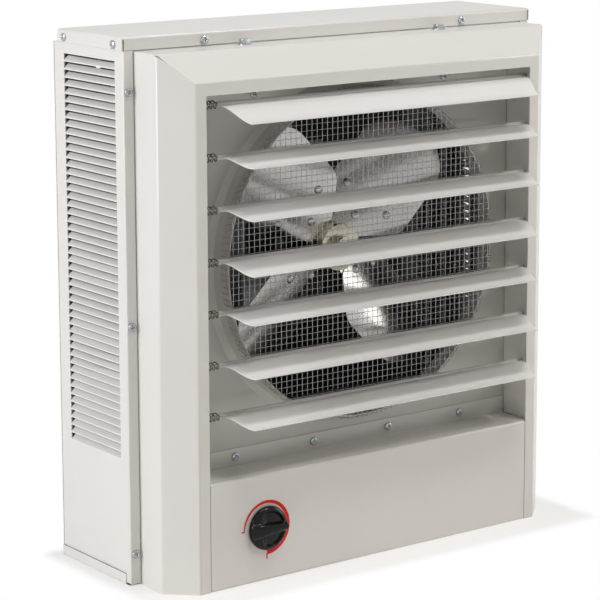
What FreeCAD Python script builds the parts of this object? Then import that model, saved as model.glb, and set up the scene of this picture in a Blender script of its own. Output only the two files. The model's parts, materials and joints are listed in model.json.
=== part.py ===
"""Electric unit heater: a folded sheet-steel cabinet with louvred sides, a bevelled outlet hood,
seven sprung louvre blades in front of a wire-guarded fan collar, and a control cover with a dial.

Millimetres. X is to the right, Y runs to the back, Z is up. The origin is the middle of the
cabinet's bottom face. The fan, the dial and each blade turn about their own axes.
"""
import FreeCAD
import Part
import math
import os

# Cabinet
cabinet_width = 512.0
cabinet_height = 540.0
cabinet_depth = 127.0
sheet = 1.2
bend = 1.3
tight_bend = 0.3
lid_flange = 13.0
lid_setback = 9.5
rear_lip = 10.0
tray_flange = 11.5
tray_step = 8.0
side_flange = 13.5
corner_seam = 1.5
lap_gap = 0.3

# Intake louvres pressed into each side panel
intake_pitch = 7.97
intake_drop = 24.0
intake_foot = 125.0
intake_length = 93.0
intake_front = 15.0
intake_slot = 6.3
intake_tilt = 48.0

# Outlet hood
hood_inset = 13.5
hood_seam = 1.2
hood_wall = 37.0
hood_bevel_in = 27.6
hood_bevel_out = 25.8
hood_lip = 12.0
hood_bend = 2.5
hood_flange = 10.4
mitre_seam = 0.06
mitre_mouth = 1.4
mitre_open = 9.5
relief_radius = 2.0

# Control cover
ledge_height = 108.8
cover_flange = 18.0
cover_side_gap = 0.7
cover_tail = 2.5

# Fan panel and its drawn collar
panel_setback = 42.0
panel_rim = 20.0
panel_rise = 3.2
fan_rise = 13.0
collar_radius = 167.0
collar_draw = 24.0
collar_bend = 10.0
collar_steps = 2

# Wire guard over the collar
wire_pitch = 6.35
wire = 0.8
wire_tip = 14.0
tip_step = 1.2

# Louvre blades, their rods, springs and rails
blade_count = 7
blade_pitch = 50.7
blade_drop = 10.1
blade_sheet = 1.0
blade_rear_flat = 6.5
blade_slope_length = 29.5
blade_slope = 15.0
blade_front_flat = 6.0
blade_taper = 14.8
blade_tilts = (12.5, 0.0, -0.5, 3.8, -1.4, 1.4, 1.0)
curl_radius = 2.6
rod_radius = 1.6
running_gap = 0.05
pivot_behind_lip = 11.4
rail_clear = 4.1
rail_depth = 36.0
rail_foot = 18.0
rail_over = 13.8
rail_rise = 0.3
blade_end_gap = 1.4
spring_space = 23.0
spring_wire = 1.0
wire_sides = 3
spring_radius = 3.7
spring_turns = 4
turn_samples = 60
spring_bend = 1.2
spring_end_gap = 0.3
rod_overhang = 2.0

# Fan
fan_behind_panel = 29.0
fan_radius = 155.0
fan_blades = 4
fan_start_angle = 45.0
fan_leading = 50.0
fan_trailing = 40.0
fan_flare = 58.0
fan_pitch = 23.0
fan_camber = 210.0
fan_sheet = 1.0
fan_root = 26.0
fan_root_width = 32.0
fan_corner = 36.0
fan_shoulder = 22.0
spider_sheet = 1.6
spider_reach = 84.0
spider_root_width = 24.0
spider_end_width = 70.0
hub_radius = 24.0
hub_length = 26.0
boss_radius = 12.0
boss_length = 9.0
rivet_radius = 2.2
rivet_head = 4.4
rivet_head_height = 1.6
rivet_spots = ((40.0, 0.0), (62.0, 27.0), (62.0, -27.0))

# Motor
shaft_radius = 6.0
motor_radius = 42.0
motor_length = 60.0
motor_behind_fan = 36.0
motor_nose_radius = 16.0
motor_nose = 6.0
motor_bolt_spread = 22.0
bracket_half_width = 45.0
bracket_foot = 30.0
bracket_length = 180.0
bolt_radius = 2.0
bolt_head = 3.8
bolt_head_height = 3.0
bolt_grip = 26.0

# Heating elements, hairpins with a fin envelope on each leg
element_inset = 54.8
element_rows = (24.0, 50.0, 76.0, 102.0)
sheath_radius = 4.0
fin_radius = 11.5
fin_rise = 25.0
fin_drop = 78.0
bend_drop = 58.0
terminal_drop = 26.0
strap_drop = 68.0
strap_half_width = 15.0
strap_foot = 24.0
shelf_rise = 12.2
shelf_flange = 20.0

# Dial, thermostat and the other electrical pieces
knob_inset = 66.9
knob_drop = 54.8
knob_radius = 22.3
knob_skirt = 3.2
knob_dome = 5.2
knob_shoulder = 18.6
knob_crown = 12.0
grip_width = 11.0
grip_height = 11.5
knob_gap = 0.6
dial_shaft_radius = 3.0
dial_hole_radius = 5.0
thermostat_width = 50.0
thermostat_depth = 34.0
switch_inset = 51.3
switch_drop = 55.8
switch_radius = 10.0
switch_height = 12.0
tab_width = 6.3
contactor_size = (72.0, 62.0, 84.0)
contactor_place = (70.0, 20.0)
block_size = (96.0, 34.0, 30.0)
block_place = (-80.0, 20.0)
block_ways = 6
core_size = (66.0, 34.0, 56.0)
core_place = (170.0, 20.0)
coil_size = (34.0, 52.0, 34.0)
lug_size = (16.0, 14.0, 10.0)
lug_place = (-190.0, 30.0)
lug_hole = 3.0

# Screws, bolts and mounting holes
bar_sides = 8
screw_radius = 2.0
screw_head = 4.2
screw_head_height = 2.6
screw_crown = 3.0
screw_length = 9.0
hole_gap = 0.1
strip_screw_inset = 6.5
strip_screw_foot = 32.4
strip_screw_drop = 52.5
lid_screw_drop = 8.0
lid_front_screw_inset = 94.0
lid_side_screw_rows = (15.0, 105.0)
ledge_screw_count = 4
ledge_screw_pitch = 96.7
ledge_screw_rise = 9.7
baffle_screw_x = 120.0
baffle_screw_drop = 21.0
baffle_foot = 28.0
rear_screw_inset = 26.0
bracket_screw_rise = 70.0
hood_bolt_x = 122.0
hood_bolt_back = 11.0
hood_bolt_radius = 3.0
hood_bolt_flat = 9.5
hood_bolt_height = 5.5
hood_bolt_washer = 7.0
hood_bolt_washer_height = 1.4
wall_hole_x = 203.2
wall_hole_foot = 70.0
wall_hole_drop = 40.0
wall_hole_radius = 4.4
knockout_inset = 136.0
knockout_z = 60.0
knockout_radius = 14.2

# Places worked out from the sizes above
front = -cabinet_depth / 2
back = cabinet_depth / 2
lid_back = back - lid_setback
lid_low = cabinet_height - lid_flange - lap_gap
half_width = cabinet_width / 2
panel_side = half_width - sheet
hood_side = half_width - hood_inset
hood_top = cabinet_height - lid_flange - hood_seam
hood_depth = hood_wall + hood_bevel_out
lip_y = front - hood_depth
opening_side = hood_side - hood_bevel_in - hood_lip
opening_top = hood_top - hood_bevel_in - hood_lip
panel_y = lip_y + panel_setback
panel_bottom = ledge_height + panel_rise
fan_height = (ledge_height + opening_top) / 2 + fan_rise
rail_spread = opening_side + rail_clear
rail_top = opening_top + rail_over
rail_bottom = ledge_height + rail_rise
blade_top = opening_top - blade_drop
intake_top = cabinet_height - intake_drop
intake_count = int((intake_top - intake_foot) / intake_pitch)
element_spread = panel_side - element_inset
shelf_height = ledge_height + shelf_rise
fin_bottom = shelf_height + fin_rise
fin_top = cabinet_height - fin_drop
bend_height = cabinet_height - bend_drop
strap_height = cabinet_height - strap_drop
knob_x = -opening_side + knob_inset
knob_z = ledge_height - knob_drop
switch_x = hood_side - sheet - switch_inset
switch_z = hood_top - switch_drop
knockout_x = -half_width + knockout_inset
strip_screw_heights = (strip_screw_foot, (strip_screw_foot + cabinet_height - strip_screw_drop) / 2,
                       cabinet_height - strip_screw_drop)
rear_screw_heights = (rear_screw_inset, cabinet_height / 2, cabinet_height - rear_screw_inset)
wall_hole_heights = (wall_hole_foot, cabinet_height - wall_hole_drop)
ledge_screw_xs = [ledge_screw_pitch * (n - (ledge_screw_count - 1) / 2) for n in range(ledge_screw_count)]
collar_y = panel_y - collar_draw
pivot_y = lip_y + pivot_behind_lip
rail_front = panel_y - rail_depth
blade_left = -rail_spread + spring_space
blade_right = rail_spread - blade_end_gap
blade_chord = (blade_rear_flat + blade_front_flat
               + blade_slope_length * math.cos(math.radians(blade_slope)))
blade_heights = [blade_top - blade_pitch * n for n in range(blade_count)]
fan_y = panel_y + fan_behind_panel
motor_front = fan_y + motor_behind_fan
motor_back = motor_front + motor_length
element_ys = [front + row for row in element_rows]
hole_radius = screw_radius + hole_gap
tray_front = front + cover_tail + lap_gap
panel_half = hood_side - sheet
hood_radii = (tight_bend, hood_bend, hood_bend)
collar_mouth = collar_radius + collar_bend

RIGHT = FreeCAD.Vector(1, 0, 0)
BACK = FreeCAD.Vector(0, 1, 0)
UP = FreeCAD.Vector(0, 0, 1)
MIDDLE = FreeCAD.Vector(0, 0, 0)
FAN_CENTRE = FreeCAD.Vector(0, fan_y, fan_height)


def vec(x, y, z):
    return FreeCAD.Vector(x, y, z)


def box(x_low, x_high, y_low, y_high, z_low, z_high):
    """A block between two corners."""
    return Part.makeBox(x_high - x_low, y_high - y_low, z_high - z_low, vec(x_low, y_low, z_low))


def plan(x, y):
    """A profile point in a level plane."""
    return vec(x, y, 0)


def side_view(y, z):
    """A profile point in a plane square to X."""
    return vec(0, y, z)


def front_view(x, z):
    """A profile point in a plane square to Y."""
    return vec(x, 0, z)


def prism(points, place, run):
    """A straight-sided profile swept along a vector."""
    corners = [place(a, b) for a, b in points]
    return Part.Face(Part.makePolygon(corners + corners[:1])).extrude(run)


def unit(a, b):
    length = math.hypot(b[0] - a[0], b[1] - a[1])
    return (b[0] - a[0]) / length, (b[1] - a[1]) / length


def shifted(points, distance):
    """A polyline moved to its left by a distance, with its corners kept square."""
    moved = []
    for n, (x, y) in enumerate(points):
        before = unit(points[n - 1], points[n]) if n > 0 else unit(points[0], points[1])
        after = unit(points[n], points[n + 1]) if n < len(points) - 1 else before
        share = 1 + before[0] * after[0] + before[1] * after[1]
        moved.append((x - distance * (before[1] + after[1]) / share,
                      y + distance * (before[0] + after[0]) / share))
    return moved


def turn_of(before, after):
    """The angle from one direction to the next, positive to the left."""
    cross = before[0] * after[1] - before[1] * after[0]
    return math.atan2(cross, before[0] * after[0] + before[1] * after[1])


def rounded(points, radii, place):
    """Edges along a polyline whose corners are arcs of the given radii."""
    edges = []
    start = points[0]
    for n in range(1, len(points) - 1):
        before = unit(points[n - 1], points[n])
        after = unit(points[n], points[n + 1])
        half_turn = abs(turn_of(before, after)) / 2
        reach = radii[n - 1] * math.tan(half_turn)
        corner = points[n]
        enter = (corner[0] - before[0] * reach, corner[1] - before[1] * reach)
        leave = (corner[0] + after[0] * reach, corner[1] + after[1] * reach)
        inward = unit((0, 0), (after[0] - before[0], after[1] - before[1]))
        depth = radii[n - 1] / math.cos(half_turn) - radii[n - 1]
        middle = (corner[0] + inward[0] * depth, corner[1] + inward[1] * depth)
        edges.append(Part.LineSegment(place(*start), place(*enter)).toShape())
        edges.append(Part.Arc(place(*enter), place(*middle), place(*leave)).toShape())
        start = leave
    edges.append(Part.LineSegment(place(*start), place(*points[-1])).toShape())
    return edges


def folded(points, radii, thickness, place, run):
    """Folded sheet: an outer line, its copy one thickness to the left (or right, if negative).

    The radii are the inner radii of its folds, in order along the line.
    """
    gauge = abs(thickness)
    outer_radii = []
    inner_radii = []
    for n in range(1, len(points) - 1):
        turn = turn_of(unit(points[n - 1], points[n]), unit(points[n], points[n + 1]))
        inside = turn * thickness > 0
        radius = radii[n - 1]
        outer_radii.append(radius + gauge if inside else radius)
        inner_radii.append(radius if inside else radius + gauge)
    inner = shifted(points, thickness)
    edges = rounded(points, outer_radii, place) + rounded(inner, inner_radii, place)
    edges.append(Part.LineSegment(place(*points[0]), place(*inner[0])).toShape())
    edges.append(Part.LineSegment(place(*points[-1]), place(*inner[-1])).toShape())
    return Part.Face(Part.Wire(Part.__sortEdges__(edges))).extrude(run)


def joined(shape, *others):
    return shape.multiFuse(list(others)).removeSplitter()


def mirrored(shape):
    """The right-hand twin of a left-hand piece."""
    return shape.mirror(MIDDLE, RIGHT)


def ring(radius, centre, axis, sides):
    """A regular polygon square to an axis."""
    aside = UP if abs(axis.x) > abs(axis.y) + abs(axis.z) else RIGHT
    other = axis.cross(aside)
    corners = [centre + aside * (radius * math.cos(2 * math.pi * n / sides))
               + other * (radius * math.sin(2 * math.pi * n / sides)) for n in range(sides)]
    return Part.makePolygon(corners + corners[:1])


def bar(stations, centre, axis, sides=bar_sides):
    """A small turned piece with few flat sides, through (radius, height) stations."""
    lengths = []
    for (low_radius, low), (high_radius, high) in zip(stations, stations[1:]):
        if high > low:
            lengths.append(Part.makeLoft([ring(low_radius, centre + axis * low, axis, sides),
                                          ring(high_radius, centre + axis * high, axis, sides)], True, True))
    return joined(*lengths) if len(lengths) > 1 else lengths[0]


def bar_holes(shape, spots, radius, direction):
    """Clearance holes for small bars, one screw length deep to each side of the spot."""
    return shape.cut(group([bar([(radius, -screw_length), (radius, screw_length)], spot, direction)
                            for spot in spots]))


def round_holes(shape, spots, radius, direction):
    """Round holes through one wall, one screw length deep to each side of the spot."""
    length = 2 * screw_length
    return shape.cut(group([Part.makeCylinder(radius, length, spot - direction * screw_length, direction)
                            for spot in spots]))


def revolved(points, centre, radial, axis):
    """A profile of (radius, height) points turned about an axis."""
    corners = [centre + radial * r + axis * h for r, h in points]
    face = Part.Face(Part.makePolygon(corners + corners[:1]))
    return face.revolve(centre, axis, 360)


def screw(seat, outward):
    """A pan-head screw whose head stands on its seat."""
    return bar([(screw_radius, -screw_length), (screw_radius, 0), (screw_head, 0),
                (screw_crown, screw_head_height)], seat, outward)


def group(solids):
    return Part.makeCompound(solids)


def export(name, shape):
    shape.exportStep("parts/%s.step" % name)


# Where the screws sit
strip_spots = [vec(s * (half_width - strip_screw_inset), front, z)
               for s in (-1, 1) for z in strip_screw_heights]
lid_front_spots = [vec(s * (half_width - lid_front_screw_inset), front, cabinet_height - lid_screw_drop)
                   for s in (-1, 1)]
lid_side_spots = [vec(s * half_width, front + row, cabinet_height - lid_screw_drop)
                  for s in (-1, 1) for row in lid_side_screw_rows]
ledge_spots = [vec(x, panel_y - sheet, ledge_height + ledge_screw_rise) for x in ledge_screw_xs]
baffle_spots = [vec(s * baffle_screw_x, panel_y - sheet, rail_top - baffle_screw_drop) for s in (-1, 1)]
rear_side_spots = [vec(s * (panel_side - side_flange / 2), back + sheet, z)
                   for s in (-1, 1) for z in rear_screw_heights]
bracket_spots = [vec(s * (bracket_half_width + bracket_foot / 2), back + sheet, fan_height + rise)
                 for s in (-1, 1) for rise in (-bracket_screw_rise, bracket_screw_rise)]
hood_bolt_spots = [vec(s * hood_bolt_x, front - hood_bolt_back, hood_top) for s in (-1, 1)]
motor_bolt_spots = [vec(sx * motor_bolt_spread, motor_back, fan_height + sz * motor_bolt_spread)
                    for sx in (-1, 1) for sz in (-1, 1)]


def lid():
    """Top cover: a shallow pan turned down, with open seams at its front corners."""
    low = cabinet_height - lid_flange
    outer = box(-half_width, half_width, front, lid_back, low, cabinet_height)
    inner = box(-panel_side, panel_side, front + sheet, lid_back - sheet, low - sheet, cabinet_height - sheet)
    top_outer = [e for e in outer.Edges if e.BoundBox.ZMin > cabinet_height - sheet]
    top_inner = [e for e in inner.Edges if e.BoundBox.ZMin > low]
    pan = outer.makeFillet(bend + sheet, top_outer).cut(inner.makeFillet(bend, top_inner))
    for side in (-1, 1):
        seam_end = side * panel_side
        seam_start = side * (panel_side - corner_seam)
        pan = pan.cut(box(min(seam_start, seam_end), max(seam_start, seam_end), front - sheet,
                          front + sheet, low - sheet, cabinet_height - sheet - bend))
    pan = bar_holes(pan, lid_front_spots, hole_radius, BACK)
    return bar_holes(pan, lid_side_spots, hole_radius, RIGHT)


def intake_flap(top):
    """One intake louvre's flap: cut free at its top and ends, and bent inwards along its foot."""
    low = top - intake_slot
    lean = math.radians(intake_tilt)
    along = (math.sin(lean), math.cos(lean))
    across = (math.cos(lean) * sheet, -math.sin(lean) * sheet)
    foot = (-panel_side, low)
    tip = (foot[0] + along[0] * intake_slot, foot[1] + along[1] * intake_slot)
    flap = prism([foot, tip, (tip[0] + across[0], tip[1] + across[1]),
                  (foot[0] + across[0], foot[1] + across[1])], front_view,
                 BACK * (intake_length - 2 * lap_gap))
    flap.translate(BACK * (front + intake_front + lap_gap))
    return flap


def side_panel():
    """Left side panel: a folded channel with a column of pressed intake louvres."""
    top = cabinet_height - sheet - bend
    low = sheet + bend
    flange_end = -hood_side - hood_seam
    channel = folded([(flange_end, front), (-panel_side, front), (-panel_side, back),
                      (-panel_side + side_flange, back)], (tight_bend, tight_bend), -sheet, plan,
                     UP * (top - low))
    channel.translate(UP * low)
    over = top + sheet
    channel = channel.cut(box(-panel_side + bend + sheet, 0, front - sheet, front + sheet, lid_low, over))
    channel = channel.cut(box(-panel_side - sheet, -panel_side + bend + sheet, front - sheet,
                              front + bend + sheet, lid_low, over))
    channel = channel.cut(box(-panel_side - sheet, 0, lid_back - bend - sheet, back + sheet, lid_low, over))
    channel = channel.cut(box(-panel_side + bend + sheet, 0, back - sheet, back + sheet, 0,
                              tray_flange + lap_gap))
    start = front + intake_front
    tops = [intake_top - intake_pitch * n for n in range(intake_count)]
    windows = [box(-panel_side - sheet, -panel_side + sheet, start, start + intake_length,
                   top_z - intake_slot, top_z) for top_z in tops]
    channel = channel.cut(group(windows))
    panel = joined(channel, *[intake_flap(top_z) for top_z in tops])
    panel = bar_holes(panel, [s for s in strip_spots if s.x < 0], hole_radius, BACK)
    panel = bar_holes(panel, [s for s in lid_side_spots if s.x < 0], hole_radius, RIGHT)
    return bar_holes(panel, [s for s in rear_side_spots if s.x < 0], hole_radius, BACK)


def tray():
    """Bottom tray: its side flanges stand outside the side panels and stop short of the front."""
    pan = folded([(-half_width, tray_flange), (-half_width, 0), (half_width, 0), (half_width, tray_flange)],
                 (bend, bend), sheet, front_view, BACK * (back - tray_front))
    pan.translate(BACK * tray_front)
    for side in (-1, 1):
        inner_x = side * (panel_side - bend)
        outer_x = side * (half_width + sheet)
        pan = pan.cut(box(min(inner_x, outer_x), max(inner_x, outer_x), front - sheet, front + tray_step,
                          sheet, cabinet_height))
    inset = panel_side - side_flange
    rear = box(-inset - side_flange / 2, inset + side_flange / 2, back - sheet, back, sheet, tray_flange)
    return joined(pan, rear)


def rear_panel():
    """Rear panel: a cover with a lip under the lid, wall-fixing holes and the supply cable's knockout."""
    wide = panel_side - lap_gap
    inset = panel_side - side_flange - lap_gap
    plate = joined(box(-wide, wide, back, back + sheet, sheet, lid_low),
                   box(-inset, inset, lid_back - rear_lip, back, lid_low - sheet, lid_low))
    plate = bar_holes(plate, rear_side_spots + bracket_spots, hole_radius, BACK)
    wall_spots = [vec(s * wall_hole_x, back, z) for s in (-1, 1) for z in wall_hole_heights]
    plate = round_holes(plate, wall_spots, wall_hole_radius, BACK)
    return round_holes(plate, [vec(knockout_x, back, knockout_z)], knockout_radius, BACK)


def hood_outline():
    """The hood's folded section, as (distance in from the hood wall, distance forward)."""
    return [(-hood_flange, -sheet), (0, -sheet), (0, hood_wall),
            (hood_bevel_in, hood_depth), (hood_bevel_in + hood_lip, hood_depth)]


def mitre_wedge(gap):
    """Everything above the hood's left mitre line, with half a seam's clearance."""
    reach = cabinet_height
    corner_x = -hood_side
    corner_z = hood_top - gap
    wedge = [(corner_x - reach, corner_z + reach), (corner_x + reach, corner_z - reach),
             (corner_x + reach, corner_z + reach)]
    solid = prism(wedge, front_view, BACK * (2 * cabinet_depth))
    solid.translate(BACK * (lip_y - sheet))
    return solid


def mitre_mouth_cut():
    """The open start of the hood's left mitre and the relief hole at its corner."""
    corner = vec(-hood_side, 0, hood_top)
    along = vec(1, 0, -1).normalize()
    aside = vec(1, 0, 1).normalize()
    start = corner - along * relief_radius
    end = corner + along * (mitre_open * math.sqrt(2))
    outline = [start + aside * (mitre_mouth / 2), start - aside * (mitre_mouth / 2),
               end - aside * (mitre_seam / 2), end + aside * (mitre_seam / 2)]
    slit = prism([(p.x, p.z) for p in outline], front_view, BACK * hood_bevel_out)
    slit.translate(BACK * (lip_y + lap_gap))
    inward = vec(1, 1, -1).normalize()
    hole_start = vec(-hood_side, front - hood_wall, hood_top) - inward * hood_bend
    return slit.fuse(Part.makeCylinder(relief_radius, 2 * hood_bend, hole_start, inward))


def hood_leg():
    """Left leg of the hood: the section run up from the floor and mitred at the top."""
    outline = [(-hood_side + a, front - b) for a, b in hood_outline()]
    leg = folded(outline, hood_radii, sheet, plan, UP * (hood_top + hood_flange))
    leg = leg.cut(mitre_wedge(mitre_seam / 2)).cut(mitre_mouth_cut())
    leg = leg.cut(box(-half_width, 0, front, front + 2 * sheet + lap_gap, 0, sheet + lap_gap))
    return bar_holes(leg, [s for s in strip_spots if s.x < 0], hole_radius, BACK)


def hood_head():
    """Top of the hood: the same section run across and mitred at both ends."""
    outline = [(front - b, hood_top - a) for a, b in hood_outline()]
    length = 2 * (hood_side + hood_flange)
    head = folded(outline, hood_radii, sheet, side_view, RIGHT * length)
    head.translate(RIGHT * (-length / 2))
    below = box(-cabinet_width, cabinet_width, lip_y - sheet, back, 0, cabinet_height)
    keep = below.common(mitre_wedge(-mitre_seam / 2))
    head = head.common(keep).common(mirrored(keep))
    mouth = mitre_mouth_cut()
    head = head.cut(mouth).cut(mirrored(mouth))
    lid_space = box(-half_width, half_width, front, back, cabinet_height - sheet - lap_gap, cabinet_height)
    head = head.cut(lid_space)
    head = bar_holes(head, lid_front_spots, hole_radius, BACK)
    return bar_holes(head, hood_bolt_spots, hood_bolt_radius + hole_gap, UP)


def control_cover():
    """Folded front cover of the wiring space: bottom flange, face, ledge and screwed flange."""
    face_half = opening_side - cover_side_gap
    ledge_half = rail_spread - lap_gap
    cover = folded([(front + cover_tail, 0), (lip_y, 0), (lip_y, ledge_height),
                    (panel_y - sheet, ledge_height), (panel_y - sheet, ledge_height + cover_flange)],
                   (bend, bend, bend), -sheet, side_view, RIGHT * (2 * ledge_half))
    cover.translate(RIGHT * -ledge_half)
    behind_lip = lip_y + 2 * sheet + bend
    for side in (-1, 1):
        near = min(side * face_half, side * cabinet_width)
        far = max(side * face_half, side * cabinet_width)
        cover = cover.cut(box(near, far, lip_y - sheet, behind_lip, -sheet, cabinet_height))
        cover = cover.cut(box(near, far, lip_y - sheet, back, -sheet, ledge_height - 2 * sheet))
    cover = bar_holes(cover, ledge_spots, hole_radius, BACK)
    return round_holes(cover, [vec(knob_x, lip_y, knob_z)], dial_hole_radius, BACK)


def fan_panel():
    """Fan panel: a shallow pan with a collar drawn forward round the fan."""
    rim = panel_y + panel_rim
    top = hood_top - sheet
    outer = box(-panel_half, panel_half, panel_y, rim, panel_bottom, top)
    inner = box(-panel_half + sheet, panel_half - sheet, panel_y + sheet, rim + sheet, panel_bottom + sheet,
                top - sheet)
    face_outer = [e for e in outer.Edges if e.BoundBox.YMax < panel_y + sheet]
    face_inner = [e for e in inner.Edges if e.BoundBox.YMax < panel_y + 2 * sheet]
    pan = outer.makeFillet(bend + sheet, face_outer).cut(inner.makeFillet(bend, face_inner))
    centre = vec(0, panel_y, fan_height)
    pan = pan.cut(Part.makeCylinder(collar_mouth, panel_rim, centre - BACK * sheet, BACK))
    return joined(pan, collar(centre)).cut(panel_holes())


def collar(centre):
    """The drawn collar: a rolled entry that runs forward into a short cylinder."""
    mouth = collar_mouth
    inner = collar_radius - sheet
    outline = [(mouth, 0)]
    for n in range(1, collar_steps + 1):
        angle = math.pi / 2 * n / collar_steps
        outline.append((mouth - collar_bend * math.sin(angle), collar_bend * (1 - math.cos(angle))))
    outline += [(collar_radius, collar_draw), (inner, collar_draw)]
    for n in range(collar_steps, -1, -1):
        angle = math.pi / 2 * n / collar_steps
        roll = collar_bend + sheet
        outline.append((mouth - roll * math.sin(angle), collar_bend - roll * math.cos(angle)))
    return revolved(outline, centre, RIGHT, BACK * -1)


def panel_holes():
    """The fan panel's screw and bolt holes."""
    cuts = [bar([(hole_radius, -screw_length), (hole_radius, screw_length)], s, BACK)
            for s in ledge_spots + baffle_spots]
    bolt_hole = hood_bolt_radius + hole_gap
    cuts += [bar([(bolt_hole, -screw_length), (bolt_hole, screw_length)], s, UP) for s in hood_bolt_spots]
    return group(cuts)


def louvre_rail():
    """Left rail: an angle on the fan panel whose web has a hole for each blade's rod."""
    outer = -rail_spread - sheet
    rail = folded([(outer - rail_foot, panel_y), (outer + sheet, panel_y), (outer + sheet, rail_front)],
                  (bend,), -sheet, plan, UP * (rail_top - rail_bottom))
    rail.translate(UP * rail_bottom)
    spots = [vec(outer, pivot_y, z) for z in blade_heights]
    return round_holes(rail, spots, rod_radius + running_gap, RIGHT)


def top_baffle():
    """Angle that closes the recess above the top blade and ties the rails to the fan panel."""
    length = 2 * (rail_spread - lap_gap)
    low = rail_top - baffle_foot
    baffle = folded([(panel_y, low), (panel_y, rail_top), (rail_front, rail_top)], (bend,), sheet, side_view,
                    RIGHT * length)
    baffle.translate(RIGHT * (-length / 2))
    collar_space = Part.makeCylinder(collar_mouth + lap_gap, rail_depth, vec(0, rail_front, fan_height), BACK)
    baffle = baffle.cut(collar_space)
    return bar_holes(baffle, baffle_spots, hole_radius, BACK)


def guard_wire(offset, upright, layer_y, end_radius):
    """One wire of the guard: straight across the collar, its two tips bent back round it."""
    half_run = math.sqrt(end_radius ** 2 - offset ** 2)
    half = wire / 2
    if upright:
        run = box(offset - half, offset + half, layer_y, layer_y + wire, fan_height - half_run - half,
                  fan_height + half_run + half)
        tips = [box(offset - half, offset + half, layer_y, layer_y + wire_tip, z - half, z + half)
                for z in (fan_height - half_run, fan_height + half_run)]
    else:
        z = fan_height + offset
        run = box(-half_run - half, half_run + half, layer_y, layer_y + wire, z - half, z + half)
        tips = [box(x - half, x + half, layer_y, layer_y + wire_tip, z - half, z + half)
                for x in (-half_run, half_run)]
    return joined(run, *tips)


def mesh_guard():
    """Square wire mesh over the collar: an upright layer on the rim and a level layer before it."""
    count = int(2 * collar_radius / wire_pitch)
    inner_ends = collar_radius + wire
    outer_ends = inner_ends + tip_step
    offsets = [wire_pitch * (n - (count - 1) / 2) for n in range(count)]
    wires = []
    for offset in offsets:
        wires.append(guard_wire(offset, True, collar_y - wire, inner_ends))
        wires.append(guard_wire(offset, False, collar_y - 2 * wire, outer_ends))
    return group(wires)


def louvre_blade(height, tilt):
    """Blade: an S-shaped sheet with tapered ends, curled round its rod at the rear edge."""
    slope = math.radians(blade_slope)
    fall = blade_slope_length * math.sin(slope)
    knee = blade_rear_flat + blade_slope_length * math.cos(slope)
    half = blade_sheet / 2
    outline = [(-rod_radius - half, half), (-blade_rear_flat, half), (-knee, half - fall),
               (-blade_chord, half - fall)]
    leaf = folded(outline, (bend, bend), blade_sheet, side_view, RIGHT * (blade_right - blade_left))
    leaf.translate(RIGHT * blade_left)
    plan_shape = prism([(blade_left, curl_radius), (blade_left, -curl_radius),
                        (blade_left + blade_taper, -blade_chord), (blade_right - blade_taper, -blade_chord),
                        (blade_right, -curl_radius), (blade_right, curl_radius)], plan,
                       UP * (2 * blade_chord))
    plan_shape.translate(UP * -blade_chord)
    length = blade_right - blade_left
    curl = Part.makeCylinder(curl_radius, length, RIGHT * blade_left, RIGHT)
    bore = Part.makeCylinder(rod_radius + running_gap, length, RIGHT * blade_left, RIGHT)
    blade = joined(leaf.common(plan_shape), curl).cut(bore)
    blade.rotate(MIDDLE, RIGHT, tilt)
    blade.translate(vec(0, pivot_y, height))
    return blade


def louvre_rod(height):
    """Rod through a blade's curl and both rails."""
    end = rail_spread + sheet + rod_overhang
    return Part.makeCylinder(rod_radius, 2 * end, vec(-end, pivot_y, height), RIGHT)


def arc_from(start, heading, end):
    """The arc that leaves a point along a heading and reaches another point."""
    chord = end - start
    lean = heading.getAngle(chord)
    aside = heading - chord * (heading.dot(chord) / chord.dot(chord))
    aside.normalize()
    middle = (start + end) * 0.5 + aside * (chord.Length / 2 * math.tan(lean / 2))
    return Part.Arc(start, middle, end).toShape()


def biarc(start, heading, end, leaving):
    """Two arcs that meet smoothly between two points with given headings."""
    gap = end - start
    both = heading + leaving
    spread = 2 * (1 - heading.dot(leaving))
    along = gap.dot(both)
    reach = (math.sqrt(along * along + spread * gap.dot(gap)) - along) / spread
    joint = (start + end) * 0.5 + (heading - leaving) * (reach / 2)
    back_arc = arc_from(end, leaving * -1, joint)
    return [arc_from(start, heading, joint), back_arc]


def spring_path():
    """Wire line of a blade's spring about the X axis, with both ends turned square to their seats."""
    end_run = spring_bend + spring_wire
    low = -rail_spread + spring_end_gap
    high = blade_left - spring_end_gap
    helix_start = low + end_run
    rise = (high - low - 2 * end_run) / spring_turns
    steps = 2 * spring_turns

    def point(n):
        angle = math.pi * n
        return vec(helix_start + rise * n / 2, spring_radius * math.cos(angle),
                   spring_radius * math.sin(angle))

    def heading(n):
        angle = math.pi * n
        return vec(rise / (2 * math.pi), -spring_radius * math.sin(angle),
                   spring_radius * math.cos(angle)).normalize()

    first = heading(0)
    last = heading(steps)
    entry = point(0) - vec(spring_bend, first.y * spring_bend, first.z * spring_bend)
    exit_point = point(steps) + vec(spring_bend, last.y * spring_bend, last.z * spring_bend)
    edges = [Part.LineSegment(vec(low, entry.y, entry.z), entry).toShape()]
    edges += biarc(entry, RIGHT, point(0), first)
    for n in range(steps):
        edges += biarc(point(n), heading(n), point(n + 1), heading(n + 1))
    edges += biarc(point(steps), last, exit_point, RIGHT)
    edges.append(Part.LineSegment(exit_point, vec(high, exit_point.y, exit_point.z)).toShape())
    return Part.Wire(Part.__sortEdges__(edges))


def least_gap(path):
    """Least clear distance from one turn of the wire to the next."""
    samples = path.discretize(Number=turn_samples * spring_turns)
    step = path.Length / (len(samples) - 1)
    apart = int(math.pi * spring_radius / step)
    nearest = min((samples[i] - samples[j]).Length
                  for i in range(len(samples)) for j in range(i + apart, len(samples)))
    return nearest - spring_wire


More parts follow.
